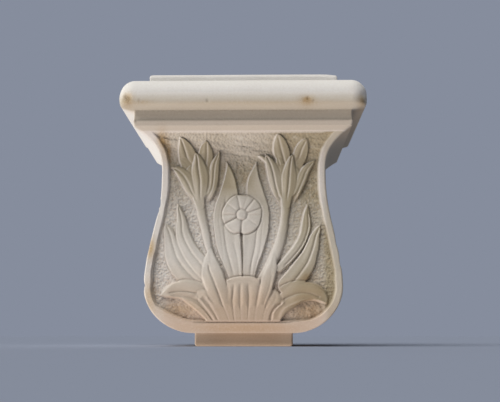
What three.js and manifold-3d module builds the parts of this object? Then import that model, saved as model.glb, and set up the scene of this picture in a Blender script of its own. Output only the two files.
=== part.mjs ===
// A wall capital carved from one block of white marble: a small foot, an S-curved bell with a rim and a
// sunk panel of lilies, a daisy and leaves, and a moulded slab with a raised bed on top.
// Millimetres, +Z up. The front faces -Y, the flat back lies at +Y, and the foot stands on z = 0.

import * as THREE from 'three';
import Module from 'manifold-3d';

const wasm = await Module();
wasm.setup();

// Whole stone
const slabWidth = 306;
const slabDepth = 234;

// Foot under the bell
const footHeight = 16;
const footWidth = 121;
const footSetback = 68;
const footRound = 3;

// Bell: heights of its S-curve above the foot, and how far it stands in from the nosing of the slab
const bulgeRise = 56;
const neckRise = 189;
const bellHeight = 251;
const bulgeInset = 32.5;
const neckInset = 50;
const flareInset = 19;
const flarePower = 3.8;
const frontUndercut = 60;
const frontUndercutHeight = 80;
const arrisRound = 2;

// Rim and sunk panel on the front of the bell
const rimWidth = 8;
const rimTopGain = 3;
const rimSlope = 3.5;
const rimFootHeight = 13.5;
const rimCornerWidth = 44;
const rimCornerHeight = 43;
const panelTopMargin = 5;
const panelDepth = 8;
const panelDepthAtTop = 5.5;
const panelFade = 30;
const ledge = 1;

// Mouldings of the slab, from the bell upwards
const filletInset = 17.2;
const filletHeight = 6.5;
const bandHeight = 13;
const bandHollow = 1.2;
const bandTopInset = 18;
const soffitRise = 4;
const lipInset = 2.5;
const lipRound = 9;
const nosingFace = 1.5;
const nosingRound = 18;
const nosingRise = 22;
const slabCornerRound = 20;

// Raised bed on top of the slab
const bedInset = 34.5;
const bedHeight = 14.5;
const bedRound = 3;

// Carving
const sink = 1.5;
const crownPlace = 0.55;
const leafEdge = 0.72;
const leafGroove = 0.78;
const leafSteps = 9;

const backY = slabDepth / 2;
const bellFoot = footHeight;
const bulgeZ = footHeight + bulgeRise;
const neckZ = footHeight + neckRise;
const bellTop = footHeight + bellHeight;
const panelFoot = footHeight + rimFootHeight;
const panelTop = bellTop - panelTopMargin;

const smooth = (t) => {
  const s = THREE.MathUtils.clamp(t, 0, 1);
  return s * s * (3 - 2 * s);
};

// How far an ellipse quarter has come in, as a share of its reach, at share t of its height.
const quarter = (t) => 1 - Math.sqrt(Math.max(0, 1 - t * t));

// How far the bell has flared out towards the slab, from 0 at the neck to 1 at its top.
const flareShare = (z) => Math.max(0, (z - neckZ) / (bellTop - neckZ)) ** flarePower;

// Distance from the nosing line to the bell, the same on its front and flanks above the bulge.
function bellInset(z) {
  if (z <= bulgeZ) return bulgeInset;
  if (z <= neckZ) return THREE.MathUtils.lerp(bulgeInset, neckInset, smooth((z - bulgeZ) / (neckZ - bulgeZ)));
  return THREE.MathUtils.lerp(neckInset, flareInset, flareShare(z));
}

// Half the width of the bell. Under the bulge its flanks curve in to the foot.
function bellHalfWidth(z) {
  const half = slabWidth / 2 - bellInset(z);
  if (z >= bulgeZ) return half;
  return half - (half - footWidth / 2) * quarter((bulgeZ - z) / bulgeRise);
}

// Front of the bell. Under the bulge it curves back less than the flanks do.
function bellFront(z) {
  const front = -slabDepth / 2 + bellInset(z);
  if (z >= bulgeZ) return front;
  return front + frontUndercut * quarter((bulgeZ - z) / frontUndercutHeight);
}

// Half the distance between the inner edges of the rim.
function rimHalfWidth(z) {
  if (z >= bulgeZ) return bellHalfWidth(z) - rimWidth - rimTopGain * flareShare(z);
  const corner = rimCornerWidth * quarter(Math.min(1, (bulgeZ - z) / rimCornerHeight));
  return bellHalfWidth(bulgeZ) - rimWidth - corner;
}

// Depth of the panel's ground behind the face of the rim.
function groundDepth(z) {
  if (z < panelFoot + ledge / 2 || z > panelTop - ledge / 2) return 0;
  return THREE.MathUtils.lerp(panelDepth, panelDepthAtTop, smooth((z - panelTop + panelFade) / panelFade));
}

const groundY = (z) => bellFront(z) + groundDepth(z);

// One horizontal ring of the stone, counter-clockwise from the back left corner.
const cornerSteps = 4;
const groundShares = [-0.5, 0, 0.5];
function ring({ z, half, front, round, rimHalf, depth }) {
  const inner = Math.min(rimHalf, half - round - rimSlope);
  const ground = inner - rimSlope;
  const points = [[-half, backY]];
  for (let i = 0; i <= cornerSteps; i++) {
    const a = Math.PI + (Math.PI / 2) * (i / cornerSteps);
    points.push([-half + round + round * Math.cos(a), front + round + round * Math.sin(a)]);
  }
  points.push([-inner, front], [-ground, front + depth]);
  for (const share of groundShares) points.push([share * ground, front + depth]);
  points.push([ground, front + depth], [inner, front]);
  for (let i = 0; i <= cornerSteps; i++) {
    const a = 1.5 * Math.PI + (Math.PI / 2) * (i / cornerSteps);
    points.push([half - round + round * Math.cos(a), front + round + round * Math.sin(a)]);
  }
  points.push([half, backY]);
  return points.map(([x, y]) => [x, y, z]);
}

const footRing = (z, inset) => ring({
  z,
  half: footWidth / 2 - inset,
  front: -slabDepth / 2 + footSetback + inset,
  round: arrisRound,
  rimHalf: footWidth / 3,
  depth: 0,
});

const bellRing = (z) => ring({
  z,
  half: bellHalfWidth(z) + (z === bellFoot ? arrisRound / 2 : 0),
  front: bellFront(z),
  round: arrisRound,
  rimHalf: rimHalfWidth(z),
  depth: groundDepth(z),
});

const slabRing = ([inset, z]) => ring({
  z,
  half: slabWidth / 2 - inset,
  front: -slabDepth / 2 + inset,
  round: Math.max(arrisRound, slabCornerRound - inset),
  rimHalf: rimHalfWidth(bellTop),
  depth: 0,
});

// Heights of the bell's rings: close together where it turns, with both edges of the panel.
function bellHeights() {
  const heights = [panelFoot, panelFoot + ledge, panelTop - ledge, panelTop];
  const turn = 9;
  for (let i = 0; i <= turn; i++) {
    heights.push(bulgeZ - bulgeRise * Math.sin((Math.PI / 2) * (i / turn)));
    heights.push(neckZ + (bellTop - neckZ) * Math.sin((Math.PI / 2) * (i / turn)));
  }
  const sway = 8;
  for (let i = 1; i < sway; i++) heights.push(THREE.MathUtils.lerp(bulgeZ, neckZ, i / sway));
  heights.sort((a, b) => a - b);
  return heights.filter((z, i) => i === 0 || z - heights[i - 1] > ledge / 2);
}

// Profile of the slab and its bed, as distance in from the nosing and height.
function slabProfile() {
  const bandFoot = bellTop + filletHeight;
  const soffit = bandFoot + bandHeight;
  const lipZ = soffit + soffitRise;
  const faceZ = lipZ + lipRound;
  const roundZ = faceZ + nosingFace;
  const slabTop = roundZ + nosingRise;
  const bedTop = slabTop + bedHeight;
  const profile = [[flareInset, bellTop], [filletInset, bandFoot]];
  const bandSteps = 5;
  for (let i = 1; i <= bandSteps; i++) {
    const t = i / bandSteps;
    const inset = THREE.MathUtils.lerp(filletInset, bandTopInset, t) + bandHollow * Math.sin(Math.PI * t);
    profile.push([inset, bandFoot + t * bandHeight]);
  }
  profile.push([lipInset, lipZ]);
  const lipSteps = 3;
  for (let i = 1; i <= lipSteps; i++) {
    const a = (Math.PI / 2) * (i / lipSteps);
    profile.push([lipInset * (1 - Math.sin(a)), lipZ + lipRound * (1 - Math.cos(a))]);
  }
  const roundSteps = 7;
  for (let i = 0; i <= roundSteps; i++) {
    const a = (Math.PI / 2) * (i / roundSteps);
    profile.push([nosingRound * (1 - Math.cos(a)), roundZ + nosingRise * Math.sin(a)]);
  }
  profile.push([bedInset, slabTop]);
  const bedSteps = 3;
  for (let i = 0; i <= bedSteps; i++) {
    const a = (Math.PI / 2) * (i / bedSteps);
    profile.push([bedInset + bedRound * (1 - Math.cos(a)), bedTop - bedRound + bedRound * Math.sin(a)]);
  }
  return profile;
}

// Closes a stack of rings, all with the same number of points, into a solid.
function stackSolid(rings) {
  const count = rings[0].length;
  const vertices = rings.flat();
  const faces = [];
  for (let r = 0; r + 1 < rings.length; r++) {
    for (let i = 0; i < count; i++) {
      const j = (i + 1) % count;
      const [a, b] = [r * count + i, r * count + j];
      faces.push([a, b, b + count], [a, b + count, a + count]);
    }
  }
  const middle = (points) => {
    const sum = points.reduce((s, p) => [s[0] + p[0], s[1] + p[1], s[2] + p[2]], [0, 0, 0]);
    return sum.map((value) => value / points.length);
  };
  const last = (rings.length - 1) * count;
  const foot = vertices.push(middle(rings[0])) - 1;
  const head = vertices.push(middle(rings[rings.length - 1])) - 1;
  for (let i = 0; i < count; i++) {
    const j = (i + 1) % count;
    faces.push([foot, j, i], [head, last + i, last + j]);
  }
  return toManifold(vertices, faces);
}

// Six times the volume that a closed set of faces encloses.
function signedVolume(vertices, faces) {
  let sum = 0;
  for (const [a, b, c] of faces) {
    const [p, q, r] = [vertices[a], vertices[b], vertices[c]];
    sum += p[0] * (q[1] * r[2] - q[2] * r[1]) + p[1] * (q[2] * r[0] - q[0] * r[2]);
    sum += p[2] * (q[0] * r[1] - q[1] * r[0]);
  }
  return sum;
}

function toManifold(vertices, faces) {
  const outward = signedVolume(vertices, faces) > 0;
  const turned = outward ? faces : faces.map(([a, b, c]) => [a, c, b]);
  return new wasm.Manifold(new wasm.Mesh({
    numProp: 3,
    vertProperties: new Float32Array(vertices.flat()),
    triVerts: new Uint32Array(turned.flat()),
  }));
}

// A point of the carving: x across, z up, h out from the ground of the panel.
const carved = (x, z, h) => [x, groundY(THREE.MathUtils.clamp(z, panelFoot + ledge, panelTop - ledge)) - h, z];

// Share of a leaf's full width at share t of its length from root to tip.
function leafWidth(t, foot, belly, blunt) {
  if (t < belly) return foot + (1 - foot) * Math.sin((Math.PI / 2) * (t / belly));
  return Math.cos((Math.PI / 2) * ((t - belly) / (1 - belly)) ** blunt);
}

// A leaf, petal or stem: a low ridge with a groove down its middle, along a bowed line from root to tip.
// A positive bow swings the middle to the left of the way up the leaf.
function leaf({ root, tip, bow = 0, width, foot = 0.4, belly = 0.5, height, blunt = 1.5, groove = leafGroove }) {
  const [dx, dz] = [tip[0] - root[0], tip[1] - root[1]];
  const length = Math.hypot(dx, dz);
  const knee = [
    (root[0] + tip[0]) / 2 - (2 * bow * dz) / length,
    (root[1] + tip[1]) / 2 + (2 * bow * dx) / length,
  ];
  const line = new THREE.QuadraticBezierCurve(
    new THREE.Vector2(...root), new THREE.Vector2(...knee), new THREE.Vector2(...tip));
  const thinnest = 0.4;
  const rings = [];
  for (let i = 0; i <= leafSteps; i++) {
    const t = i / leafSteps;
    const p = line.getPoint(t);
    const d = line.getTangent(t);
    const half = Math.max(thinnest, (width / 2) * leafWidth(t, foot, belly, blunt));
    const at = (s, h) => carved(p.x - d.y * half * s, p.y + d.x * half * s, h);
    rings.push([
      at(1, -sink),
      at(1, height * leafEdge),
      at(crownPlace, height),
      at(0, height * groove),
      at(-crownPlace, height),
      at(-1, height * leafEdge),
      at(-1, -sink),
    ]);
  }
  return stackSolid(rings);
}

const lilyLeft = { x: -53, z: 172 };
const lilyRight = { x: 52, z: 174 };

const backPetals = [
  { root: [-58, 195], tip: [-81, 258], width: 26, belly: 0.55, height: 4 },
  { root: [-50, 200], tip: [-44, 254], width: 20, belly: 0.6, height: 4 },
  { root: [54, 205], tip: [43, 260], width: 23, belly: 0.6, height: 4 },
  { root: [62, 205], tip: [74, 258], width: 21, belly: 0.65, height: 4, blunt: 2.6 },
  { root: [54, 190], tip: [41, 234], width: 12, height: 4.8 },
  { root: [30, 231], tip: [18, 238], width: 6, foot: 0.8, height: 4 },
];

const frontPetals = [
  { root: [lilyLeft.x, lilyLeft.z], tip: [-92, 222], bow: -7, width: 24, height: 5.5 },
  { root: [lilyLeft.x + 2, lilyLeft.z], tip: [-30, 244], bow: -2, width: 17, belly: 0.55, height: 6 },
  { root: [lilyLeft.x - 1, lilyLeft.z], tip: [-60, 240], bow: -3, width: 24, belly: 0.62, height: 6.5 },
  { root: [lilyRight.x - 2, lilyRight.z], tip: [28, 238], width: 20, belly: 0.55, height: 5.8 },
  { root: [lilyRight.x + 4, lilyRight.z - 2], tip: [89, 230], bow: 2, width: 15, belly: 0.55, height: 6 },
  { root: [lilyRight.x, lilyRight.z], tip: [60, 238], width: 20, belly: 0.6, height: 6.5 },
];

const stemShape = { foot: 0.85, belly: 0.6, height: 5.5, groove: 1.1, blunt: 4 };
const stems = [
  { ...stemShape, root: [-37.5, 98], tip: [lilyLeft.x - 3, 190], width: 12.5 },
  { ...stemShape, root: [24, 78], tip: [lilyRight.x + 1, 190], bow: -6, width: 13.5 },
];

const middleLeaves = [
  { root: [-10, 80], tip: [-21.5, 230], bow: 5, width: 35, foot: 0.5, belly: 0.48, height: 5.2 },
  { root: [6, 80], tip: [15.5, 230], bow: -4.5, width: 33, foot: 0.5, belly: 0.45, height: 5.2 },
];

const sideLeaves = [
  { root: [-58, 70], tip: [-96.5, 148], bow: 5.5, width: 28, foot: 0.6, belly: 0.42, height: 4.5 },
  { root: [-45, 88], tip: [-82, 175], bow: 8.5, width: 22, foot: 0.6, height: 5.5 },
  { root: [50, 68], tip: [93, 147], bow: -7, width: 25, foot: 0.7, belly: 0.4, height: 5.5 },
  { root: [44, 92], tip: [78, 173], bow: -9, width: 15, foot: 0.6, belly: 0.55, height: 5 },
];

const lowLeaves = [
  { root: [-38, 34], tip: [-100.5, 60], bow: -20, width: 26, foot: 0.5, height: 6 },
  { root: [42, 34], tip: [100, 54], bow: 22, width: 23, foot: 0.5, height: 6 },
  { root: [-29, 32], tip: [-58, 60], bow: -5, width: 15, foot: 0.7, height: 6.8 },
  { root: [33, 32], tip: [47, 56], bow: 4, width: 14, foot: 0.8, height: 6.8 },
  { root: [-18, 32], tip: [-40, 120], bow: 3.5, width: 28, foot: 0.5, belly: 0.58, height: 7.6 },
  { root: [16, 32], tip: [35.5, 114], bow: -2, width: 23, foot: 0.6, belly: 0.6, height: 7.6 },
];

// Fluted sheath between the two front leaves, arched along its top.
const sheath = { foot: 31, top: 79, arch: 4, halfFoot: 15, halfTop: 20, centre: -1, height: 7.2, fluteDepth: 2.2 };
const fluteCount = 4;
function sheathSolid() {
  const columns = 16;
  const rows = 5;
  const rings = [];
  for (let i = 0; i <= columns; i++) {
    const s = (2 * i) / columns - 1;
    const flute = Math.abs(Math.cos((fluteCount * Math.PI * (s + 1)) / 2));
    const h = sheath.height - sheath.fluteDepth * flute;
    const column = [];
    for (let j = 0; j <= rows; j++) {
      const t = j / rows;
      const x = sheath.centre + s * THREE.MathUtils.lerp(sheath.halfFoot, sheath.halfTop, t);
      const z = THREE.MathUtils.lerp(sheath.foot, sheath.top + sheath.arch * (1 - s * s), t);
      column.push([x, z, h]);
    }
    const front = column.map(([x, z, out]) => carved(x, z, out));
    const back = column.map(([x, z]) => carved(x, z, -sink)).reverse();
    rings.push([...front, ...back]);
  }
  return stackSolid(rings);
}

// Daisy: petals cut by radial grooves of uneven spacing round a domed eye.
const daisy = { x: -2, z: 160.5, radius: 24.5, eyeRadius: 6.2, height: 7.5, eyeHeight: 9, grooveDepth: 1.6 };
const daisyGrooves = [0, 28, 58, 90, 122, 152, 182, 210, 270, 318];
function daisySolid() {
  const angles = [];
  daisyGrooves.forEach((angle, i) => {
    const next = i + 1 < daisyGrooves.length ? daisyGrooves[i + 1] : daisyGrooves[0] + 360;
    angles.push([angle, 0], [angle + (next - angle) * 0.25, 1], [angle + (next - angle) * 0.75, 1]);
  });
  const radii = [0.3, 0.62, 0.95, 1];
  const drops = [1.2, 0.2, 0, 1.6];
  const rings = radii.map((share, k) => angles.map(([angle, petal]) => {
    const a = THREE.MathUtils.degToRad(angle);
    const r = daisy.radius * share * (petal ? 1 : 0.96);
    const h = daisy.height - drops[k] - (petal ? 0 : daisy.grooveDepth);
    return carved(daisy.x + r * Math.cos(a), daisy.z + r * Math.sin(a), h);
  }));
  const buried = angles.map(([angle]) => {
    const a = THREE.MathUtils.degToRad(angle);
    return carved(daisy.x + daisy.radius * Math.cos(a), daisy.z + daisy.radius * Math.sin(a), -sink);
  });
  return stackSolid([...rings, buried]);
}

function daisyEyeSolid() {
  const sides = 14;
  const steps = [[1, 0], [0.92, 0.5], [0.6, 0.9], [0.1, 1]];
  const rings = steps.map(([share, rise]) => {
    const points = [];
    for (let i = 0; i < sides; i++) {
      const a = (2 * Math.PI * i) / sides;
      const h = rise === 0 ? -sink : daisy.eyeHeight * rise;
      const r = daisy.eyeRadius * share;
      points.push(carved(daisy.x + r * Math.cos(a), daisy.z + r * Math.sin(a), h));
    }
    return points;
  });
  return stackSolid(rings);
}

function stoneSolid() {
  const rings = [
    footRing(0, footRound),
    footRing(footRound * 0.3, footRound * 0.3),
    footRing(footRound, 0),
    footRing(footHeight, 0),
    ...bellHeights().map(bellRing),
    ...slabProfile().map(slabRing),
  ];
  return stackSolid(rings);
}

function toGeometry(manifold) {
  const mesh = manifold.getMesh();
  const geometry = new THREE.BufferGeometry();
  geometry.setAttribute('position', new THREE.BufferAttribute(new Float32Array(mesh.vertProperties), 3));
  geometry.setIndex(new THREE.BufferAttribute(new Uint32Array(mesh.triVerts), 1));
  geometry.computeVertexNormals();
  return geometry;
}

const ridges = [...backPetals, ...stems, ...frontPetals, ...middleLeaves, ...sideLeaves, ...lowLeaves];
const carving = [...ridges.map(leaf), sheathSolid(), daisySolid(), daisyEyeSolid()];
const stone = carving.reduce((solid, piece) => solid.add(piece), stoneSolid());

const marble = new THREE.MeshStandardMaterial({ color: 0xcac4b8, roughness: 0.62, metalness: 0 });
const capital = new THREE.Mesh(toGeometry(stone), marble);
capital.name = 'capital';

const group = new THREE.Group();
group.add(capital);

export default group;
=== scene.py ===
"""Looks of a carved marble wall capital: one block of white marble with a sunk panel of lilies and leaves.

The block is one net of rings from the foot up. On its front, leaves, petals, stems, a daisy and a fluted
sheath lie over each other on a pecked ground. Chips, waviness, weathering and painted shade and light come
last.
Sizes are in millimetres until the mesh is made, +Z is up and the carved front faces -Y.
"""

import logging
import math
from dataclasses import dataclass, field
from enum import Enum, IntEnum

import bpy
import numpy as np
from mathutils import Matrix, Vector


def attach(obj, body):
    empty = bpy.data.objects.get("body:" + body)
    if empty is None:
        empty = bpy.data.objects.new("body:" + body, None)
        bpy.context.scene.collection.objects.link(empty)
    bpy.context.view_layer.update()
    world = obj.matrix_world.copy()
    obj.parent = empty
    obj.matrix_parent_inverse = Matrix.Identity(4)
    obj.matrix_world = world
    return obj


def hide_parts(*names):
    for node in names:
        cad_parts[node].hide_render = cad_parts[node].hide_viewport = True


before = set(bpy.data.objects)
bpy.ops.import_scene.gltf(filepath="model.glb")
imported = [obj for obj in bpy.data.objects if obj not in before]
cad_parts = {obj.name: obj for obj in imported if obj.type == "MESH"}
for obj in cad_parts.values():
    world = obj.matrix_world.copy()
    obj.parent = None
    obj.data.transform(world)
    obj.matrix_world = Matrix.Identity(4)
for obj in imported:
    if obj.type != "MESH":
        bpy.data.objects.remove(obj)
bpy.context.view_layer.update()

log = logging.getLogger("capital")

Grid = np.ndarray
MM = 0.001

# The stone, the same as the solid
SLAB_HALF = 153.0
HALF_DEPTH = 117.0
FOOT_HEIGHT = 16.0
FOOT_HALF = 60.5
FOOT_FRONT = -49.0
BULGE_Z = 72.0
BULGE_RISE = 56.0
NECK_Z = 205.0
BELL_TOP = 267.0
BULGE_INSET = 32.5
NECK_INSET = 50.0
FLARE_INSET = 19.0
FLARE_POWER = 3.8
UNDERCUT = 60.0
UNDERCUT_HEIGHT = 80.0
SLAB_CORNER = 20.0
FOOT_CORNER = 2.4
ARRIS = 2.2

# Rim and panel
RIM_WIDTH = 8.0
RIM_TOP_GAIN = 3.0
RIM_SLOPE = 3.5
RIM_CORNER_WIDTH = 44.0
RIM_CORNER_HEIGHT = 43.0
PANEL_FOOT = 29.0
PANEL_TOP = 262.0
PANEL_DEPTH = 7.2
PANEL_DEPTH_TOP = 5.0
PANEL_FADE = 30.0
RELIEF = 0.92

# Heights that the wear and the weathering go by
BAND_FOOT_Z = 274.0
SOFFIT_Z = 285.8
NOSING_TOP_Z = 318.0
SLAB_TOP_Z = 322.5
BED_ARRIS_Z = 334.0

# Distance in from the edge, and height
FOOT_PROFILE = [(3, 0), (1.6, 0.4), (0.6, 1.2), (0, 3), (0, 6), (0, 9.5), (0, 13), (0, 16)]
SLAB_PROFILE = [
    (19.0, 267.0), (17.3, 273.3), (18.3, 274.6), (18.5, 278.7), (18.5, 282.0), (18.3, 286.5),
    (2.5, 290.5), (1.3, 291.7), (0.35, 295.0), (0.0, 299.5), (0.0, 301.0), (0.45, 305.9), (1.8, 310.5),
    (3.9, 314.7), (6.8, 318.2), (10.2, 320.8), (14.0, 322.5), (18.0, 323.0), (34.5, 323.0),
    (34.5, 334.5), (35.4, 336.6), (37.5, 337.5),
]


def smooth(t: Grid) -> Grid:
    """Eases from 0 to 1.

    Args:
        t: values, held to 0..1 first.

    Returns:
        The eased values.
    """
    s = np.clip(t, 0.0, 1.0)
    return s * s * (3.0 - 2.0 * s)


def above(places: Grid, start: float, length: float) -> Grid:
    """Eases from 0 at the start to 1 a length above it."""
    return smooth((places - start) / length)


def below(places: Grid, start: float, length: float) -> Grid:
    """Eases from 0 at the start to 1 a length below it."""
    return smooth((start - places) / length)


def around(places: Grid, middle: float, width: float) -> Grid:
    """A soft line: 1 in the middle, and falling off on both sides of it."""
    return np.exp(-(((places - middle) / width) ** 2))


def quarter(t: Grid) -> Grid:
    """How far an ellipse quarter has come in, as a share of its reach, at share t of its height."""
    return 1.0 - np.sqrt(np.maximum(0.0, 1.0 - np.clip(t, 0.0, 1.0) ** 2))


def flare_share(z: Grid) -> Grid:
    """How far the bell has flared out, from 0 at the neck to 1 at its top."""
    return np.maximum(0.0, (z - NECK_Z) / (BELL_TOP - NECK_Z)) ** FLARE_POWER


def bell_inset(z: Grid) -> Grid:
    """Distance from the nosing line to the bell above the bulge."""
    sway = BULGE_INSET + (NECK_INSET - BULGE_INSET) * smooth((z - BULGE_Z) / (NECK_Z - BULGE_Z))
    return sway - (NECK_INSET - FLARE_INSET) * flare_share(z)


def bell_half(z: Grid) -> Grid:
    """Half the width of the bell."""
    half = SLAB_HALF - bell_inset(z)
    return half - (half - FOOT_HALF) * quarter((BULGE_Z - z) / BULGE_RISE)


def bell_front(z: Grid) -> Grid:
    """Y of the bell's front face."""
    return -HALF_DEPTH + bell_inset(z) + UNDERCUT * quarter((BULGE_Z - z) / UNDERCUT_HEIGHT)


def rim_half(z: Grid) -> Grid:
    """Half the distance between the inner edges of the rim."""
    corner = RIM_CORNER_WIDTH * quarter((BULGE_Z - z) / RIM_CORNER_HEIGHT)
    return SLAB_HALF - bell_inset(z) - RIM_WIDTH - RIM_TOP_GAIN * flare_share(z) - corner


class Lattice:
    """Smooth seeded noise over a plane."""

    def __init__(self, seed: int) -> None:
        """Draws the values at the lattice's points."""
        self.values = np.random.default_rng(seed).uniform(-1.0, 1.0, (97, 97))

    def at(self, x: Grid, z: Grid, cell_x: float, cell_z: float) -> Grid:
        """Noise from -1 to 1.

        Args:
            x: places across, in mm.
            z: places up, in mm.
            cell_x: size of a grain across, in mm.
            cell_z: size of a grain up, in mm.

        Returns:
            One value for each place.
        """
        far = 400.0
        u = x / cell_x + far
        v = z / cell_z + far
        i = np.floor(u).astype(int)
        j = np.floor(v).astype(int)
        a = smooth(u - i)
        b = smooth(v - j)
        size = len(self.values)
        low = self.values[i % size, j % size] * (1 - a) + self.values[(i + 1) % size, j % size] * a
        high = self.values[i % size, (j + 1) % size] * (1 - a)
        high = high + self.values[(i + 1) % size, (j + 1) % size] * a
        return low * (1 - b) + high * b


@dataclass(frozen=True)
class Blade:
    """A leaf, petal or stem carved on the ground of the panel.

    Each spine point is x, z and half the width there, from root to tip. Height, wall, trench and crease depth
    are in mm. The crease runs at a share of the half width, and the other values are shares too.
    """

    spine: tuple
    height: float
    crease: float = 0.0
    crease_depth: float = 0.0
    wall: float = 1.9
    trench: float = 0.25
    tip_drop: float = 0.25
    dome: float = 0.12
    fold: float = 0.05
    crease_from: float = 0.05
    crease_to: float = 0.9
    melt: float = 0.0
    crease_width: float = 1.05
    flutes: float = 0.13


@dataclass(frozen=True)
class Stroke:
    """A crease cut along a line of x and z, or a rib raised along it where the depth is negative."""

    points: tuple
    depth: float
    reach: float


def curve_through(points: Grid, count: int = 64) -> Grid:
    """Samples a smooth curve (Catmull-Rom).

    Args:
        points: rows of values that the curve passes through.
        count: number of samples.

    Returns:
        The samples as rows, evenly spread over the spans.
    """
    padded = np.vstack([2 * points[0] - points[1], points, 2 * points[-1] - points[-2]])
    spans = len(points) - 1
    out = []
    for t in np.linspace(0.0, spans, count):
        k = min(int(t), spans - 1)
        f = t - k
        a, b, c, d = padded[k:k + 4]
        square = 2 * a - 5 * b + 4 * c - d
        cube = 3 * b - a - 3 * c + d
        out.append(0.5 * (2 * b + (c - a) * f + square * f**2 + cube * f**3))
    return np.array(out)


# Cut round each form, and how its edge and crease are shaped
TRENCH_PLACE = -0.6
TRENCH_WIDTH = 0.9
TRENCH_ON_GROUND = 0.35
EDGE_OUTSIDE = 0.25
BLADE_MARGIN = 4.0
CENTRE_PULL = 0.35
DOME_POWER = 2.4
FOLD_POWER = 0.8
CREASE_FADE_IN = 0.08
CREASE_FADE_OUT = 0.1
# How dark creases and strokes are painted: grime, and painted shade on their right-facing sides.
CREASE_DARKENING = 0.55
STROKE_DARKENING = 0.6

# The carver's hand and the pecking, in mm
WOBBLE = 0.55
HAND_WAVE = 0.16
FINE_PITS = 0.45
COARSE_PITS = 0.55
LONG_STROKES = 1.3
SHORT_STROKES = 0.3
STROKES_SPAN = (225, 20)

# Carving, from the deepest layer to the nearest
BACK_PETALS = [
    # Left lily, then right lily
    Blade(((-62, 205, 8), (-67, 222, 11), (-71, 238, 11.5), (-75.5, 250, 6), (-79, 257.5, 0)), 4.0, 0.1, 0.8),
    Blade(((-48.5, 212, 6), (-48.8, 224, 9), (-48.4, 234, 10.3), (-47.4, 244, 7.8), (-45.5, 254.5, 0)), 3.8,
          -0.15, 0.7),
    Blade(((53, 222, 5), (50.5, 231, 8), (48, 239, 10.8), (45.7, 247.5, 9.4), (43.6, 254.5, 5),
          (42, 258.5, 0)), 4.0, 0.0, 0.8),
    Blade(((64, 212, 5), (67.5, 223, 7.5), (70, 234, 9.2), (72.5, 242.5, 8.8), (75.5, 249, 6),
          (78, 253.5, 2)), 3.8, 0.05, 0.7, tip_drop=0.1),
    # Small petals in the gaps
    Blade(((49, 206, 3), (47, 217, 5), (44.5, 227, 5.4), (41.5, 236, 0)), 4.6, 0.0, 0.4),
    Blade(((-64, 216, 4), (-70, 224, 6), (-76, 230, 5), (-82, 234, 0)), 3.4),
    Blade(((60, 216, 4), (67, 224, 5.5), (73, 230, 5), (78.5, 234.5, 0)), 3.4),
    Blade(((29, 228, 2.6), (25.5, 232.5, 2.8), (21.5, 235, 2.0), (18, 235.6, 0)), 4.2),
]
STEMS = [
    Blade(((-35, 98, 4), (-38.6, 110, 4.6), (-42.4, 120, 5), (-45, 130, 5.3), (-47.2, 140, 5.4),
          (-49.4, 150, 5.8), (-51.8, 160, 6), (-54, 171, 6.4), (-56, 182, 7.5)), 5.8, tip_drop=0.0, dome=0.45,
          fold=0.0),
    Blade(((22, 76, 6.5), (29.5, 90, 6.8), (34.6, 100, 7.1), (39, 110, 7.1), (43, 120, 6.8), (46, 130, 6.6),
          (48.4, 140, 6.2), (50.3, 150, 5.7), (51.3, 160, 5.8), (52.2, 171, 6.6), (54, 182, 7.5)), 5.8,
          tip_drop=0.0, dome=0.45, fold=0.0),
]
CUPS = [
    Blade(((-54, 174, 6), (-55.4, 186, 8), (-56, 196, 14.5), (-57, 205, 19), (-57.5, 212, 15),
          (-57.5, 220, 0)), 5.4, trench=0.1, dome=0.14, fold=0.0),
    Blade(((52.5, 174, 6), (53.3, 186, 8), (53.6, 196, 14.5), (54.4, 205, 19), (55, 212, 15), (55.5, 220, 0)),
          5.4, trench=0.1, dome=0.14, fold=0.0),
]
FRONT_PETALS = [
    # Left lily: right, left and middle petal
    Blade(((-50, 170, 4), (-46.5, 180, 5), (-42, 188, 5.2), (-39, 196, 5.6), (-37.5, 206, 6.2),
          (-36.6, 216, 6.3), (-35.2, 226, 5.6), (-32.4, 236, 3.4), (-30, 243.5, 0)), 5.8, 0.1, 0.55,
          melt=0.3),
    Blade(((-54.5, 172, 4), (-60.5, 183, 6), (-66, 193, 7.4), (-70.7, 203, 8.2), (-75, 210.5, 7.8),
          (-80.5, 216.5, 6), (-86, 219.5, 3), (-91.5, 221.5, 0)), 5.8, 0.05, 0.55, melt=0.3),
    Blade(((-53, 172, 4), (-53, 182, 6), (-53.3, 192, 8), (-53.8, 202, 9.7), (-54.5, 212, 10.6),
          (-55.7, 221, 9.3), (-57.2, 230, 5.8), (-58.8, 236, 3), (-60, 241, 0)), 6.6, 0.12, 0.9, melt=0.3),
    # Right lily: left, right and middle petal
    Blade(((50, 172, 4), (45.5, 182, 5.6), (41.7, 192, 7), (39, 202, 7.9), (37.3, 212, 8.3), (34.8, 222, 7.1),
          (31.5, 230, 5), (27, 239, 0)), 5.8, 0.0, 1.0, melt=0.3),
    Blade(((56, 172, 4), (63, 183, 5.2), (68, 194, 6.1), (72.3, 204, 6.5), (76, 213, 6.3), (80.3, 220.5, 5.6),
          (85.5, 226, 3.6), (91, 230.5, 0)), 5.9, -0.2, 0.55, melt=0.3),
    Blade(((52.5, 171, 3.8), (54, 181, 5.2), (55.5, 191, 7), (56.6, 201, 8.8), (57.2, 210, 9.2),
          (58, 219, 7.8), (59, 227, 5.6), (60, 233.5, 3.4), (61, 239, 0)), 6.6, 0.0, 0.9, melt=0.3),
]
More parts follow.
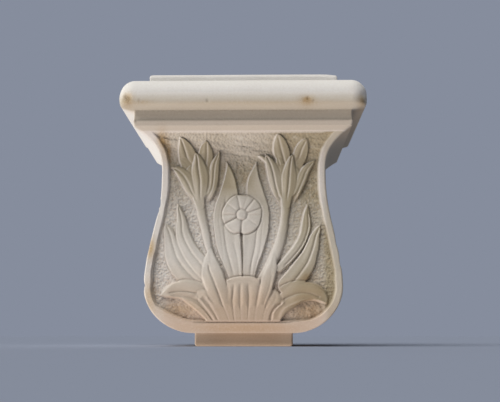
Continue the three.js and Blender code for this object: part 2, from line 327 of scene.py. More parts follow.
SIDE_LEAVES = [
    # Left pair, then right pair
    Blade(((-50, 72, 11), (-60, 79, 12.5), (-70, 88.5, 14), (-78, 99, 14.2), (-84, 110, 12), (-88, 122, 9.2),
          (-91, 134, 7), (-93.6, 142, 4.6), (-97, 149, 0)), 4.9, -0.12, 1.0, tip_drop=0.05),
    Blade(((-42, 86, 10), (-51, 97, 11), (-60, 108, 10.6), (-67.5, 119, 10), (-72.6, 130, 9.7),
          (-75.5, 140, 8.9), (-76.6, 150, 7.2), (-78.2, 160, 5.4), (-80.6, 170, 2.8), (-82, 176, 0)), 6.0,
          0.0, 0.9, tip_drop=0.1),
    Blade(((44, 93, 5), (49, 98.5, 5.4), (56, 106, 5.9), (63.5, 115.5, 6.2), (70, 125.5, 6.4), (74, 134, 6.5),
          (76.6, 143, 6.7), (77.6, 152, 6), (78, 161, 4.3), (79, 169, 2.4), (79.5, 174.5, 0)), 5.2, -0.45,
          1.0, tip_drop=0.1),
    Blade(((52, 72, 11), (61, 80, 12.8), (69, 90, 12.8), (75.8, 100, 12), (80.3, 110, 10), (84.4, 121, 8.4),
          (88, 133, 6.2), (91.6, 141, 4), (95, 148.5, 0)), 5.8, -0.12, 1.1, tip_drop=0.05),
]
MIDDLE_LEAVES = [
    Blade(((-9, 74, 7.9), (-9.7, 86, 9.1), (-12.9, 100, 11.8), (-16, 114, 14.3), (-18.2, 128, 16.0),
          (-19.8, 142, 17), (-20.6, 156, 17), (-20.3, 170, 15.6), (-18.8, 184, 13), (-17.6, 196, 10.4),
          (-17.3, 207, 7.6), (-18.6, 218, 4), (-21.3, 230.5, 0)), 5.2, 0.22, 0.9, tip_drop=0.05, dome=-0.12,
          crease_to=0.6),
    Blade(((7, 74, 7.5), (7.5, 86, 8.4), (9, 100, 10.2), (11.6, 114, 12.3), (13.6, 128, 14.3),
          (15.4, 142, 16), (16, 156, 16.8), (15.8, 170, 15), (14.9, 184, 12.3), (13.4, 196, 10),
          (12.8, 207, 7.4), (14.2, 218, 4), (17, 230, 0)), 5.2, -0.1, 0.9, tip_drop=0.05, dome=-0.12,
          crease_to=0.42),
]
MIDDLE_CREASES = [
    Stroke(((-26, 95), (-24, 108), (-26, 125), (-29, 142), (-30, 158), (-28, 174)), 0.5, 1.0),
    Stroke(((-5, 80), (-6, 95), (-8, 110), (-11, 124)), 0.6, 1.0),
    Stroke(((13, 80), (15, 95), (19, 112), (22, 130), (24, 150)), 0.5, 1.0),
]
CURLED_LEAVES = [
    # Stone behind the feet of the leaves
    Blade(((-10, 18, 16), (-22, 34, 15), (-32, 49, 13), (-40, 60, 9), (-46, 68, 0)), 5.2, dome=0.05,
          fold=0.0),
    Blade(((16, 18, 16), (26, 36, 14), (33, 50, 11), (37, 60, 8), (40, 68, 0)), 5.2, dome=0.05, fold=0.0),
    # Outer leaves, curling down
    Blade(((-36, 24, 5), (-40, 35, 7.4), (-45, 44, 9.6), (-52.5, 54, 12), (-61, 62.5, 13.6),
          (-70, 66.8, 11.8), (-80, 67.4, 10.2), (-89, 66, 7.6), (-95.5, 63.5, 4), (-101.5, 60.3, 0)), 5.8,
          wall=2.6, dome=0.08),
    Blade(((39, 24, 5), (41.5, 36, 7), (46.5, 46.5, 9.6), (54.5, 56.5, 12.6), (64, 63.6, 13), (74, 65.8, 12),
          (83.5, 65.2, 10.3), (91.3, 62, 8.4), (97.3, 57, 5.6), (101.5, 50.5, 0)), 5.8, wall=2.6, dome=0.08),
    # Inner leaves
    Blade(((-29, 24, 5), (-31.5, 34, 6), (-35, 41.5, 7.4), (-40, 49.5, 8.8), (-45.5, 57.5, 9),
          (-51.5, 61.8, 5.4), (-59.4, 60.4, 0)), 6.5, wall=2.2, dome=0.08),
    Blade(((27, 24, 4.5), (29, 35, 5.4), (32.6, 44, 6.6), (37, 52, 8), (39.6, 59.5, 5.6), (38, 67.5, 0)), 6.5,
          wall=2.2, dome=0.08),
]
SHEATH_LEAVES = [
    Blade(((-18, 22, 7), (-20.4, 36, 7.8), (-24.2, 46, 9.2), (-28.2, 57, 11.2), (-31.4, 68, 13),
          (-34.4, 78, 13.8), (-36.8, 87, 13), (-38.6, 96, 10.8), (-39.9, 105, 7.6), (-40.2, 112.5, 4.2),
          (-39, 119.5, 0)), 7.2, wall=2.4, dome=0.1),
    Blade(((18.5, 22, 5), (19, 35, 5.2), (20.8, 45, 5.8), (24, 56, 6.8), (27, 66, 7.8), (30.3, 78, 8.3),
          (33.6, 88, 7.8), (36, 98, 5.8), (36.6, 106.5, 3.2), (35.6, 114, 0)), 7.2, wall=2.4, dome=0.12),
]
LOW_STROKES = [
    # Outer left leaf
    Stroke(((-100, 62.5), (-94, 69.5), (-85.1, 76.2), (-77.6, 79.2), (-68.5, 80.3), (-59.5, 78.8),
          (-49.6, 75.8)), 1.4, 0.9),
    Stroke(((-92, 63.5), (-82, 65), (-74.4, 65.4), (-67, 65), (-57, 63.6)), 1.7, 1.1),
    Stroke(((-90, 60.5), (-78, 60.5), (-66, 58.5), (-56, 54), (-50, 48), (-44, 41.5), (-39, 35), (-35, 27)),
          1.3, 3.2),
    Stroke(((-97, 59.7), (-87.9, 58.6), (-75.9, 56.9), (-63.8, 54.3), (-56, 49.9), (-48.2, 43.6),
          (-42.3, 36.9), (-37, 28)), -1.4, 1.4),
    # Inner left leaf and the leaf at the sheath's left
    Stroke(((-58, 60), (-53, 56), (-48.5, 51.8), (-43.6, 46.6), (-39.6, 41.6), (-35.6, 35.4), (-32.3, 28)),
          -1.3, 1.3),
    Stroke(((-51, 59), (-44.5, 52.5), (-40, 47.5), (-36.3, 42), (-33, 36), (-29.6, 28)), 1.3, 1.9),
    Stroke(((-46, 60), (-40.5, 54.4), (-36, 49.2), (-32.7, 44.1), (-30.1, 38.9), (-27.9, 33.7), (-26, 28)),
          -1.3, 1.3),
    Stroke(((-42, 100), (-40.8, 91.2), (-38.4, 84.3), (-35.3, 76.8), (-31.9, 68.5), (-28.1, 58.9),
          (-24, 48.5), (-20, 38.9), (-16.6, 28)), 1.6, 1.1),
    # Outer right leaf
    Stroke(((41.4, 69.3), (48.9, 73.4), (60.2, 77.9), (68.5, 79), (76, 79.2), (83.5, 77.1), (90.9, 72.3)),
          1.4, 0.9),
    Stroke(((47.5, 54.6), (53.3, 58.8), (60.1, 61.4), (67.6, 63.2), (74.3, 63.6), (81.8, 62.5), (91, 59)),
          1.3, 1.2),
    Stroke(((43.5, 28), (47, 38.4), (52.2, 45.4), (58.5, 49.2), (65.3, 52.2), (74.3, 54.8), (83.3, 55.7),
          (92.2, 54.4), (99, 51.5)), -1.3, 1.5),
    # Inner right leaf and the leaf at the sheath's right
    Stroke(((47.5, 52.5), (41.5, 48.5), (37, 44), (34, 38.5), (31.4, 28)), 2.0, 1.5),
    Stroke(((51, 53.4), (45.8, 49.4), (41.3, 44.8), (37.5, 38.9), (34.3, 28)), -1.2, 1.3),
    Stroke(((39, 51), (34.7, 47), (31.9, 42.6), (30, 37.4), (28.3, 28)), -1.2, 1.2),
    Stroke(((36, 88), (33.4, 78), (30.6, 68), (27.6, 59), (24.6, 50)), 0.7, 1.4),
]


@dataclass
class Carving:
    """Height of the carving over the ground of the panel, on a grid of places."""

    x: Grid
    z: Grid
    height: Grid = field(init=False)
    cover: Grid = field(init=False)
    seam: Grid = field(init=False)

    def __post_init__(self) -> None:
        """Starts from bare ground."""
        self.height = np.zeros_like(self.x)
        self.cover = np.zeros_like(self.x)
        self.seam = np.zeros_like(self.x)

    def places_near(self, line: Grid, reach: float) -> tuple:
        """Finds the places near a line.

        Args:
            line: rows of x and z.
            reach: distance from the line's own box, in mm.

        Returns:
            Indices of the places inside the widened box.
        """
        low = line.min(axis=0) - reach
        high = line.max(axis=0) + reach
        return np.nonzero((self.x > low[0]) & (self.x < high[0]) & (self.z > low[1]) & (self.z < high[1]))

    def lay(self, where: tuple, inside: Grid, top: Grid, wall: float, trench: float,
            kept: float = 1.0) -> None:
        """Puts one form over what is there already, and cuts a narrow trench around it.

        Args:
            where: indices of the places concerned.
            inside: distance inside the form's edge, negative outside.
            top: height of the form at each place.
            wall: width of its sloping edge.
            trench: depth of the cut around it.
            kept: share of the form that shows at each place, less where it melts into what lies under it.
        """
        old = self.height[where]
        cut = around(inside, TRENCH_PLACE, TRENCH_WIDTH) * (inside < 0.2) * kept
        old = old - trench * cut * (TRENCH_ON_GROUND + (1 - TRENCH_ON_GROUND) * self.cover[where])
        share = smooth(inside / wall + EDGE_OUTSIDE) * kept
        self.height[where] = old * (1 - share) + top * share
        self.cover[where] = np.maximum(self.cover[where], share)
        self.seam[where] = np.maximum(self.seam[where] * (1 - share), cut)

    def darken(self, where: tuple, amount: Grid) -> None:
        """Marks places as a seam to be painted darker, where they aren't one already."""
        self.seam[where] = np.maximum(self.seam[where], amount)

    def blade(self, form: Blade) -> None:
        """Carves one leaf, petal or stem.

        Args:
            form: its spine and its section.
        """
        line = curve_through(np.array(form.spine, float))
        where = self.places_near(line[:, :2], line[:, 2].max() + BLADE_MARGIN)
        px, pz = self.x[where], self.z[where]
        gap = np.hypot(px[:, None] - line[None, :, 0], pz[:, None] - line[None, :, 1])
        width = np.maximum(line[:, 2], 0.0)
        nearest = np.argmin(gap - width[None, :], axis=1)
        inside = width[nearest] - gap[np.arange(len(px)), nearest]
        run = np.gradient(line[:, :2], axis=0)
        run /= np.linalg.norm(run, axis=1)[:, None]
        central = np.argmin(gap - CENTRE_PULL * width[None, :], axis=1)
        offset = run[central, 0] * (pz - line[central, 1]) - run[central, 1] * (px - line[central, 0])
        half = np.maximum(width[central], 1.0)
        side = np.clip(offset / half, -1.0, 1.0)
        along = central / (len(line) - 1)
        fade = above(along, form.crease_from, CREASE_FADE_IN)
        fade = fade * (1 - above(along, form.crease_to, CREASE_FADE_OUT))
        left = (side + 1) / (form.crease + 1)
        right = (1 - side) / (1 - form.crease)
        halves = np.sin(math.pi * np.where(side < form.crease, left, right))
        fold = form.fold * (1 - halves ** FOLD_POWER) * fade
        top = form.height * (1 - form.dome * np.abs(side) ** DOME_POWER - fold)
        top = top * (1 - form.tip_drop * above(along, 0.7, 0.3))
        crease = around((side - form.crease) * half, 0.0, form.crease_width) * fade
        if form.crease_depth > 0:
            top = top - form.flutes * np.cos(3 * math.pi * (side - form.crease)) * fade
        kept = smooth(along / form.melt) if form.melt else 1.0
        self.lay(where, inside, top - form.crease_depth * crease, form.wall, form.trench, kept)
        self.darken(where, CREASE_DARKENING * crease * min(1.0, form.crease_depth + 0.3) * kept)

    def stroke(self, form: Stroke) -> None:
        """Cuts a crease, or raises a rib, on what is carved already.

        Args:
            form: its line, depth and reach.
        """
        line = curve_through(np.array(form.points, float))
        where = self.places_near(line, 3 * form.reach)
        gap = np.hypot(self.x[where][:, None] - line[None, :, 0], self.z[where][:, None] - line[None, :, 1])
        along = np.argmin(gap, axis=1) / (len(line) - 1)
        shape = around(gap.min(axis=1), 0.0, form.reach) * smooth(along / 0.1) * self.cover[where]
        self.height[where] -= form.depth * shape
        self.darken(where, STROKE_DARKENING * max(form.depth, 0.0) * shape / max(form.reach, 1.0))


@dataclass(frozen=True)
class Daisy:
    """A flower of shallow petals round a domed eye, with a deeper nick at its foot.

    Each groove between petals is an angle in degrees and a depth.
    """

    x: float = -1.8
    z: float = 160.6
    radius: float = 24.2
    eye: float = 6.2
    height: float = 7.6
    squash: float = 0.93
    nick: float = 2.8
    nick_angle: float = -97.0
    grooves: tuple = ((104, 1.0), (53, 1.1), (19, 1.2), (-2, 0.7), (-36, 0.5), (-91, 1.7), (208, 1.8),
                      (180, 1.0), (142, 0.6), (75, 0.3))

    def carve(self, carving: Carving) -> None:
        """Lays the flower over the two middle leaves.

        Args:
            carving: the panel that it is carved on.
        """
        dx, dz = carving.x - self.x, carving.z - self.z
        where = np.nonzero(np.hypot(dx, dz) < self.radius + 6)
        dx, dz = dx[where], dz[where]
        r = np.hypot(dx, dz * self.squash)
        a = np.arctan2(dz, dx)
        edge = self.radius - 0.3 * np.cos(5 * a + 0.6)
        edge = edge - self.nick * around(a, math.radians(self.nick_angle), 0.16)
        top = self.height - 0.9 * above(r, 0.55 * self.radius, 0.45 * self.radius)
        top = top - 0.6 * around(r, self.eye, 2.0)
        dark = np.zeros_like(r)
        for angle, depth in self.grooves:
            turn = np.abs(np.angle(np.exp(1j * (a - math.radians(angle)))))
            away = r * np.sin(np.minimum(turn, math.pi / 2))
            line = around(away, 0.0, 0.95) * above(r, self.eye, 1.5)
            top = top - 1.2 * depth * line - 0.5 * depth * around(away, 0.0, 2.6)
            dark = np.maximum(dark, 0.6 * min(depth, 1.3) * line)
        ring = around(r, self.eye + 0.8, 0.9)
        eye = self.height + 1.0 - 2.4 * (r / self.eye) ** 2.6
        top = np.where(r < self.eye, np.maximum(eye, top - 1.0), top - 1.1 * ring)
        carving.lay(where, edge - r, top, 1.6, 1.3)
        carving.darken(where, np.maximum(dark, 0.8 * ring))


@dataclass(frozen=True)
class Sheath:
    """A fluted band between the two front leaves, from which the inner leaves rise.

    Its sides and its grooves are lines of z and x.
    """

    top: float = 79.8
    arch: float = 3.8
    height: float = 7.0
    left: tuple = ((24, -17), (45, -20), (66, -21), (76, -20.5), (85, -20.5))
    right: tuple = ((24, 18), (45, 20), (66, 21.5), (76, 20.8), (85, 20.8))
    grooves: tuple = (
        ((24, -17.5), (45, -20), (66, -20), (85, -20)),
        ((24, -10), (43, -11.6), (54, -12.7), (75, -11.2)),
        ((24, -3.5), (54, -3.3), (79, -2.7)),
        ((24, 4.2), (46, 6.4), (60, 7.2), (75, 6.2)),
        ((24, 15), (45, 17), (66, 20), (85, 20)),
    )
    rib_height: float = 1.5
    rib_fade: tuple = (68, 9)
    lip: float = 0.9

    def carve(self, carving: Carving) -> None:
        """Lays the sheath over the feet of the leaves.

        Args:
            carving: the panel that it is carved on.
        """
        where = np.nonzero((np.abs(carving.x) < 30) & (carving.z < 92))
        x, z = carving.x[where], carving.z[where]
        low = np.interp(z, *zip(*self.left))
        high = np.interp(z, *zip(*self.right))
        s = 2 * (x - low) / (high - low) - 1
        crest = self.top + self.arch * (1 - s**2)
        inside = np.minimum(np.minimum(x - low, high - x), crest - z)
        fade = 1 - above(z, *self.rib_fade)
        lines = [np.interp(z, *zip(*groove)) for groove in self.grooves]
        ribs = np.zeros_like(x)
        dark = np.zeros_like(x)
        for first, second in zip(lines, lines[1:]):
            across = np.clip(2 * (x - first) / (second - first) - 1, -1, 1)
            ribs = np.maximum(ribs, self.rib_height * (1 - np.abs(across) ** 2.6))
            dark = np.maximum(dark, around(x, second, 0.9) * fade)
        top = self.height - 0.4 * s**2 + (ribs - self.rib_height) * fade
        top = top + self.lip * around(crest - z, 1.8, 1.5)
        carving.lay(where, inside, top, 1.8, 1.2)
        carving.darken(where, 0.7 * dark * (inside > 0))


@dataclass(frozen=True)
class Patch:
    """A place on the front, as x, z and its reach across and up, with its strength."""

    x: float
    z: float
    wide: float
    tall: float
    strength: float

    def share(self, x: Grid, z: Grid) -> Grid:
        """How much of the patch is at each place."""
        return self.strength * np.exp(-(((x - self.x) / self.wide) ** 2) - ((z - self.z) / self.tall) ** 2)


OCHRE = [
    Patch(-99, 246, 5, 15, 0.6),
    Patch(-103, 254, 5, 7, 0.7),
    Patch(-94, 238, 3, 14, 0.7),
    Patch(-113, 118, 6, 14, 0.9),
    Patch(-112, 60, 8, 20, 0.6),
    Patch(-78, 44, 26, 11, 0.55),
    Patch(80, 43, 22, 11, 0.4),
    Patch(95, 70, 6, 10, 0.3),
    Patch(0, 22, 80, 7, 0.5),
    Patch(78, 82, 8, 5, 0.5),
    Patch(78, 294, 8, 4.5, 0.9),
    Patch(-141, 296, 8, 8, 0.8),
    Patch(-122, 292, 12, 2, 0.4),
    Patch(145, 294, 5, 6, 0.7),
    Patch(20, 291, 130, 2, 0.25),
]
SPOTS = [
    Patch(-144, 298, 3, 5, 0.9),
    Patch(-139, 295, 2.4, 4, 1.0),
    Patch(-126, 294, 2, 2, 0.3),
    Patch(-43, 293.5, 1.6, 1.3, 0.9),
    Patch(78, 295, 1.0, 2.6, 0.7),
    Patch(85, 293, 1.2, 1.6, 0.5),
    Patch(147, 292, 2, 3, 0.5),
    Patch(37.5, 235.5, 2.5, 2, 0.45),
    Patch(-3, 137, 1.6, 4, 0.6),
    Patch(-1, 186.5, 9, 1.4, 0.6),
    Patch(-88, 218, 4, 2.5, 0.4),
    Patch(77, 226, 4, 2, 0.4),
    Patch(41, 67, 2.5, 2, 0.5),
    Patch(-36, 8, 16, 9, 0.12),
    Patch(28, 9, 26, 8, 0.1),
    Patch(84, 147, 2, 3, 0.5),
    Patch(43, 103, 2, 3, 0.5),
    Patch(47, 56, 2.5, 2, 0.5),
    Patch(-98, 252, 2, 6, 0.3),
]
CHIPS = [
    Patch(-142, 297, 5, 4, 1.8),
    Patch(148, 300, 5, 5, 1.2),
    Patch(-121, 122, 4, 8, 2.2),
    Patch(-122, 72, 4, 5, 1.6),
    Patch(-106, 172, 4, 12, 1.6),
    Patch(-109, 163, 3, 3, 1.0),
    Patch(119, 100, 3, 6, 1.5),
    Patch(116, 128, 3, 8, 1.2),
    Patch(-43, 294, 2.4, 2.0, 0.9),
    Patch(80, 295, 5, 2.2, 0.5),
    Patch(60, 289, 8, 1.6, 0.6),
    Patch(-132, 273, 3, 3, 1.3),
]


def sum_of(patches: list, x: Grid, z: Grid) -> Grid:
    """How much of all the patches is at each place."""
    return sum(patch.share(x, z) for patch in patches)


def carve_panel(x: Grid, z: Grid) -> Carving:
    """Carves flowers and leaves, and pecks the ground between them.

    Args:
        x: grid of places across the front.
        z: grid of their heights.

    Returns:
        The carving, as heights over the ground.
    """
    carving = Carving(x, z)
    wobble = Lattice(3)
    carving.x = x + WOBBLE * wobble.at(x, z, 17, 17)
    carving.z = z + WOBBLE * wobble.at(z, x, 19, 19)
    for form in [*BACK_PETALS, *STEMS, *CUPS, *FRONT_PETALS, *SIDE_LEAVES, *MIDDLE_LEAVES]:
        carving.blade(form)
    for form in MIDDLE_CREASES:
        carving.stroke(form)
    Daisy().carve(carving)
    for form in CURLED_LEAVES:
        carving.blade(form)
    Sheath().carve(carving)
    for form in SHEATH_LEAVES:
        carving.blade(form)
    for form in LOW_STROKES:
        carving.stroke(form)
    grain = Lattice(5)
    high = above(z, *STROKES_SPAN)
    pits = FINE_PITS * grain.at(x, z, 3.4, 3.6) + COARSE_PITS * grain.at(x + 31, z, 6.9, 6.4)
    slanted = z + 0.12 * x
    strokes = LONG_STROKES * grain.at(x, slanted, 19, 2.7) + SHORT_STROKES * grain.at(x, z + 17, 5.1, 2.3)
    peck = pits * (1 - high) + strokes * high
    hand = HAND_WAVE * grain.at(x, z + 9, 9, 11)
    carving.height = RELIEF * carving.height + peck * (1 - smooth(carving.cover)) + hand * carving.cover
    return carving


def slab_profile() -> Grid:
    """The slab's profile with its arrises softened, as wear has left them.

    Returns:
        Rows of the distance in from the nosing and the height, from the bottom up.
    """
    pitch = 0.25
    softness = 0.75
    reach = 6
    picked = 7
    points = np.array(SLAB_PROFILE)
    steps = np.concatenate([[0.0], np.cumsum(np.hypot(*np.diff(points, axis=0).T))])
    fine = np.arange(0.0, steps[-1], pitch)
    kernel = around(np.arange(-reach, reach + 1) * pitch, 0.0, softness)
    kernel /= kernel.sum()
    lines = [np.pad(np.interp(fine, steps, line), reach, mode="edge") for line in points.T]
    soft = [np.convolve(line, kernel, "valid") for line in lines]
    picks = np.concatenate([np.arange(3, len(fine) - 1, picked), [len(fine) - 1]])
    out = np.stack(soft, axis=1)[picks]
    out[-1] = SLAB_PROFILE[-1]
    return out


def rows_of_stone() -> list:
    """Every ring of the stone from the foot up.

    Returns:
        For each ring: height, half width, y of its front, radius of its front corners, and 1 on the bell.
    """
    rows = [(z, FOOT_HALF - inset, FOOT_FRONT + inset, FOOT_CORNER, 0.0) for inset, z in FOOT_PROFILE]
    ends = [0.05 * i * i for i in range(11)]
    heights = [FOOT_HEIGHT + end for end in ends]
    heights += list(np.arange(22.0, PANEL_TOP, 1.0))
    heights += [BELL_TOP - end for end in reversed(ends)]
    for z in heights:
        lip = math.exp(-(z - FOOT_HEIGHT) / 0.4)
        rows.append((z, float(bell_half(np.float64(z))) + lip, float(bell_front(np.float64(z))), ARRIS, 1.0))
    for inset, z in slab_profile():
        rows.append((z, SLAB_HALF - inset, -HALF_DEPTH + inset, max(ARRIS, SLAB_CORNER - inset), 0.0))
    return rows


class Zone(IntEnum):
    """Stretches of a ring, in the order in which it runs from the back along the left flank and round."""

    LEFT_FLANK = 0
    LEFT_CORNER = 1
    LEFT_RIM = 2
    LEFT_SLOPE = 3
    PANEL = 4
    RIGHT_SLOPE = 5
    RIGHT_RIM = 6
    RIGHT_CORNER = 7
    RIGHT_FLANK = 8
    BACK = 9


@dataclass(frozen=True)
class Wear:
    """How unevenly the block is cut and how far it is worn, in mm. A pair is a start and a length."""

    rim_waver: float = 0.5
    corner_fill: float = 11.0
    corner_fill_span: tuple = (50, 18)
    foot_fill: float = 1.8
    foot_fill_span: tuple = (58, 16)
    edge_fill: float = 3.0
    edge_fill_reach: float = 11.0
    edge_fill_span: tuple = (90, 60)
    deepest_pit: float = 1.4
    foot_cut: float = 1.5
    foot_cut_span: tuple = (64, 12)
    edge_cut: float = 0.5
    long_wave: float = 0.28
    short_wave: float = 0.12
    nick: float = 1.6
    nick_roughness: float = 1.2
    nick_span: tuple = (96, 20)


@dataclass(frozen=True)
class Weather:
    """How strongly grime, stains, painted shade and painted light show, from 0 to 1, and where. A pair is a
    start and a length in mm.
    """

    seam_dirt: float = 0.1
    # Painted shade on seams where the carving falls away to the right, away from the lamps.
    painted_shade_on_seams: float = 0.4
    # Darkens places that lie behind their neighbours.
    hollow_darkening: float = 0.15
    hollow_span: tuple = (40, 30)
    edge_dirt: float = 0.03
    foot_line_dirt: float = 0.8
    # Grime and painted shade in the corners under the soffit and at the foot of the band.
    slab_corner_grime_and_shade: float = 0.3
    # Painted shade on the right flank, in the brown layer.
    brown_shade_on_flank: float = 0.1
    smoother_top: float = 0.4
    top_span: tuple = (215, 25)
    smoother_foot: float = 0.35
    foot_span: tuple = (62, 20)
    back_roughness: float = 0.45
    bed_roughness: float = 0.2
    patina_span: tuple = (95, 100)
    patina_everywhere: float = 0.25
    patina_on_carving: float = 0.52
    patina_on_ground: float = 0.75
    ground_span: tuple = (165, 50)
    # Painted shade on the top of the left lily, under the slab.
    painted_shade_on_left_lily: float = 0.5
    lily_span: tuple = (180, 30)
    left_span: tuple = (20, 40)
    # Painted shade, darker towards the right, away from the lamps.
    painted_shade_at_right: float = 0.6
    right_span: tuple = (20, 60)
    patina_on_leaves: float = 0.1
    patina_on_low_leaves: float = 0.33
    low_span: tuple = (125, 60)
    # Painted light: less olive where the carving rises to the right and so faces the lamps.
    painted_light_on_lit_slopes: float = 0.9
    patina_off_daisy: float = 0.45
    # Stain and painted shade on the foot, under the bulge.
    stain_and_shade_on_foot: float = 0.35
    # Olive weathering and painted shade under the slab's overhang, a little less on the fillet.
    olive_and_shade_under_slab: float = 0.55
    slab_span: tuple = (306, 12)
    olive_and_shade_on_fillet: float = 0.72
    # Painted shade on the right flank and on the right rim, in the olive layer.
    painted_shade_on_flank: float = 0.75
    painted_shade_on_right_rim: float = 0.6
    right_rim_shade_span: tuple = (95, 10)
    # Reddish tones: earth stain, and painted bounce light from below on the lower front and the fillet.
    warm_front: float = 0.2
    warm_front_span: tuple = (296, 8)
    warm_foot: float = 0.8
    warm_foot_span: tuple = (110, 80)
    warm_foot_drop: float = 40.0
    warm_middle: float = 0.3
    warm_fillet: float = 0.22
    # Painted shade on the right flank, in the reddish layer.
    reddish_shade_on_flank: float = 0.6


@dataclass
class Surface:
    """The block's surface as a grid of points, with its carving, its wear, its weathering and its painted
    shade and light.

    x, y and z are places in mm before the carving. zone tells which stretch of its ring a point is on, and
    face is true on the carved front.
    """

    x: Grid
    y: Grid
    z: Grid
    zone: Grid
    face: Grid
    wear: Wear = Wear()
    weather: Weather = Weather()
    hand: Lattice = field(init=False)
    carving: Carving = field(init=False)
    inside: Grid = field(init=False)
    sunk: Grid = field(init=False)
    cut: Grid = field(init=False)
    ahead: Grid = field(init=False)
    right_flank_shade: Grid = field(init=False)
    right_rim_shade: Grid = field(init=False)

    def __post_init__(self) -> None:
        """Carves the panel, and works out where the wear, the weathering and the painted shade lie."""
        self.hand = Lattice(11)
        self.carving = carve_panel(self.x, self.z)
        self.inside = self.distance_inside()
        self.sunk = smooth(self.inside / RIM_SLOPE) * self.face
        self.cut = 1.0 * ((self.zone >= Zone.LEFT_CORNER) & (self.zone <= Zone.RIGHT_CORNER))
        self.ahead = below(self.y, self.y.min(axis=1, keepdims=True) + 36, 30)
        # Painted shade on the right flank, which faces away from the lamps; stronger under the slab.
        shadow = (0.55 + 0.45 * above(self.z, 195, 30)) * (self.z < NOSING_TOP_Z)
        self.right_flank_shade = shadow * (self.zone == Zone.RIGHT_FLANK)
        # Painted shade on the right rim, which the lamps on the left light less.
        rim = self.cut * (self.y > -90) * (self.z < PANEL_TOP)
        self.right_rim_shade = above(self.x, *self.weather.right_rim_shade_span) * rim

    def distance_inside(self) -> Grid:
        """Measures how far each point is inside the panel.

        Returns:
            Distance from the rim's inner edge in mm, negative on the rim.
        """
        heights = self.z[:, 0]
        # Two rings can share a height, so they are set apart a little to give the edge a finite slant.
        lean = np.gradient(rim_half(heights), heights + 1e-4 * np.arange(len(heights)))[:, None]
        waver = self.wear.rim_waver * self.hand.at(0 * self.x, self.z, 30, 13)
        fill = self.wear.corner_fill * below(self.z, *self.wear.corner_fill_span) * (self.x < 0)
        across = (rim_half(self.z) + waver - fill - np.abs(self.x)) / np.hypot(1, lean)
        return np.minimum(across, np.minimum(self.z - PANEL_FOOT, 2 * (PANEL_TOP - self.z)))

    def ground_depth(self) -> Grid:
        """How far the pecked ground lies behind the rim.

        Returns:
            A grid of depths in mm.
        """
        wear = self.wear
        fade = above(self.z, PANEL_TOP - PANEL_FADE, PANEL_FADE)
        depth = PANEL_DEPTH + (PANEL_DEPTH_TOP - PANEL_DEPTH) * fade
        depth = depth - wear.foot_fill * below(self.z, *wear.foot_fill_span)
        beside_rim = np.exp(-np.abs(self.inside - RIM_SLOPE) / wear.edge_fill_reach)
        return depth - wear.edge_fill * beside_rim * above(self.z, *wear.edge_fill_span)

    def foot_line(self) -> Grid:
        """The narrow cut along the panel's foot, from 0 to 1."""
        return around(self.z, PANEL_FOOT, 0.9) * below(np.abs(self.x), *self.wear.foot_cut_span) * self.face

    def edge_line(self) -> Grid:
        """The narrow cut in the ground along the rim, from 0 to 1."""
        return around(self.inside, RIM_SLOPE, 1.4) * self.face * (1 - self.carving.cover)

    def carved_depth(self) -> Grid:
        """How far each point of the front lies behind the rim.

        Returns:
            A grid of depths in mm.
        """
        ground = self.ground_depth()
        shown = np.minimum(smooth((self.inside + 0.5) / 1.5), self.sunk + 0.1) * self.face
        depth = np.minimum(ground * self.sunk - self.carving.height * shown, ground + self.wear.deepest_pit)
        depth = np.maximum(depth, 0.0) + self.wear.foot_cut * self.foot_line()
        return depth + self.wear.edge_cut * self.edge_line()

    def places(self) -> tuple:
        """The points after carving and wear.

        Returns:
            Grids of x, y and z in mm.
        """
        x, y, z, wear, hand = self.x, self.y, self.z, self.wear, self.hand
        wave = wear.long_wave * (1 + hand.at(x, z, 46, 37))
        wave = wave + wear.short_wave * (1 + hand.at(x + y, z, 13, 12))
        chip = sum_of(CHIPS, x, z) * (0.75 + 0.5 * hand.at(x, z, 2.6, 2.6)) * self.ahead
        right = (self.zone == Zone.RIGHT_CORNER) | (self.zone == Zone.RIGHT_FLANK)
        inward = 1.0 * (self.zone <= Zone.LEFT_CORNER) - right
        nick = above(x, *wear.nick_span) * (z > SLAB_TOP_Z) * (y < 20) * below(y, 20, 40)
        nick = nick * (wear.nick + wear.nick_roughness * hand.at(x, y, 5, 5)) * above(z, 322, 15)
        worn_x = x + inward * (wave + chip) * (z > 18)
        worn_y = y + self.carved_depth() + self.cut * (wave + chip)
        return worn_x, worn_y, z - nick

    def soil(self, y: Grid) -> Grid:
        """Darkening in seams, hollows, corners and spots: stains and grime, with painted shade on seams that
        face right, in the slab's corners and on the right flank.

        Args:
            y: the worn surface, for its hollows.

        Returns:
            A grid of its strength.
        """
        weather = self.weather
        x, z = self.x, self.z
        # Painted shade: seams are darker where the carving falls away to the right, away from the lamps.
        shaded = np.clip(-self.slope(), 0, 1)
        seams = (weather.seam_dirt + weather.painted_shade_on_seams * shaded) * self.carving.seam * self.sunk
        # Darker where the surface lies behind its neighbours.
        hollows = hollows_of(y) * self.cut * above(z, *weather.hollow_span) * (z < PANEL_TOP)
        # Grime and painted shade in the corners under the soffit and at the foot of the band.
        corners = (around(z, SOFFIT_Z, 1.4) + 0.7 * around(z, BAND_FOOT_Z, 0.9)) * self.cut
        spots = sum_of(SPOTS, x, z) * self.ahead
        soil = seams + weather.hollow_darkening * hollows + weather.edge_dirt * self.edge_line() + spots
        soil = soil + weather.foot_line_dirt * self.foot_line() + weather.slab_corner_grime_and_shade * corners
        # Painted shade on the right flank.
        return soil + weather.brown_shade_on_flank * self.right_flank_shade

    def slope(self) -> Grid:
        """How steeply the carving rises from left to right."""
        return np.gradient(self.carving.height, axis=1) / np.maximum(np.gradient(self.x, axis=1), 0.3)

